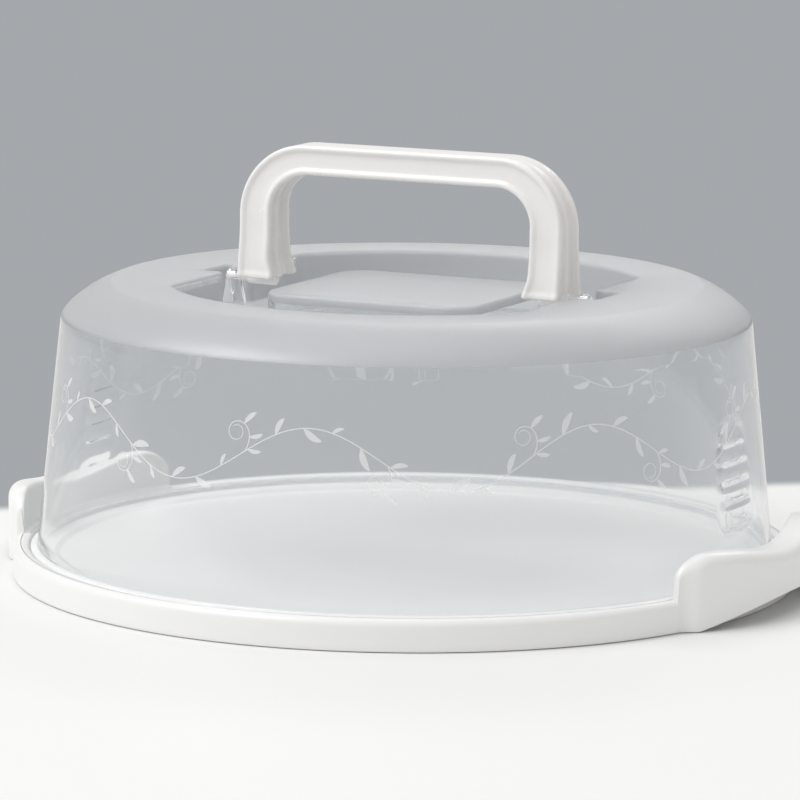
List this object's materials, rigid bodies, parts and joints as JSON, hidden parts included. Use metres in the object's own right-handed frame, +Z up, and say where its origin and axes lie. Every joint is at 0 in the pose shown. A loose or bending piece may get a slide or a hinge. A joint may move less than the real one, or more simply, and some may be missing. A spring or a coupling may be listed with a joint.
{
  "type": "cake carrier",
  "caption": "Round cake carrier: a white tray with two grip ears, a clear dome cover with a frosted top, and a bail handle that folds into a recess in the cover.",
  "frame": {"origin": "centre of the tray's underside, on the table", "axes": "+Z up, +X through the middle of one grip ear and along the handle's crossbar"},
  "size_m": [0.322, 0.3, 0.1625],
  "materials": {
    "tray_white": "smooth moulded white plastic, soft gloss",
    "cover_clear": "clear moulded wall; shoulder, crown and recess floor lightly frosted",
    "handle_white": "smooth moulded warm white plastic, soft gloss"
  },
  "bodies": {
    "tray": {"base_tray": "tray_white"},
    "cover": {"cover": "cover_clear"},
    "handle": {"handle": "handle_white"}
  },
  "joints": [
    {"name": "cover_lift", "type": "slide", "parent": "tray", "child": "cover", "axis": [0, 0, 1], "range_m": [0, 0.14]},
    {"name": "handle_fold", "type": "hinge", "parent": "cover", "child": "handle", "pos_m": [0, 0, 0.1094], "axis": [1, 0, 0], "range_deg": [-90, 90]}
  ]
}
